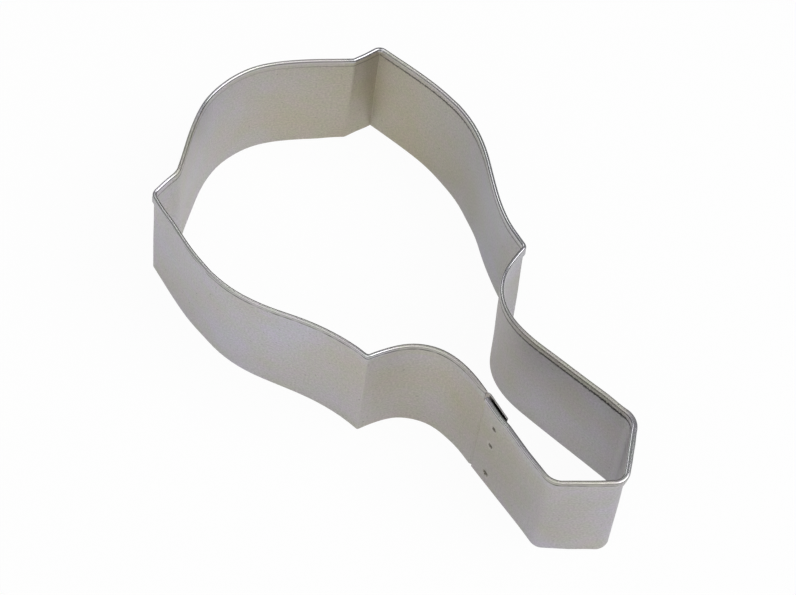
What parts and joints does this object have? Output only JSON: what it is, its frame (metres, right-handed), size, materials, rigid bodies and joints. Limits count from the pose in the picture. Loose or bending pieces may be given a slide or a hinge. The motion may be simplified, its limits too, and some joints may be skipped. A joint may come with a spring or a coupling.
{
  "type": "cookie cutter",
  "caption": "Tinplate cookie cutter in the outline of a hand mirror, with a plain cutting edge, a rolled rim and a lapped seam held by spot welds.",
  "frame": {"origin": "on the plane of the cutting edge, under the middle of the outline", "axes": "+X across the mirror, +Y from the tip of its handle to its crown, +Z from the cutting edge up to the rolled rim"},
  "size_m": [0.0616, 0.1106, 0.0254],
  "materials": {
    "tinplate": "dull satin tinplate",
    "weld_metal": "dull, darkened by the weld"
  },
  "bodies": {
    "root": {"cutter_strip": "tinplate", "spot_weld_upper": "weld_metal", "spot_weld_middle": "weld_metal", "spot_weld_lower": "weld_metal"}
  },
  "joints": []
}
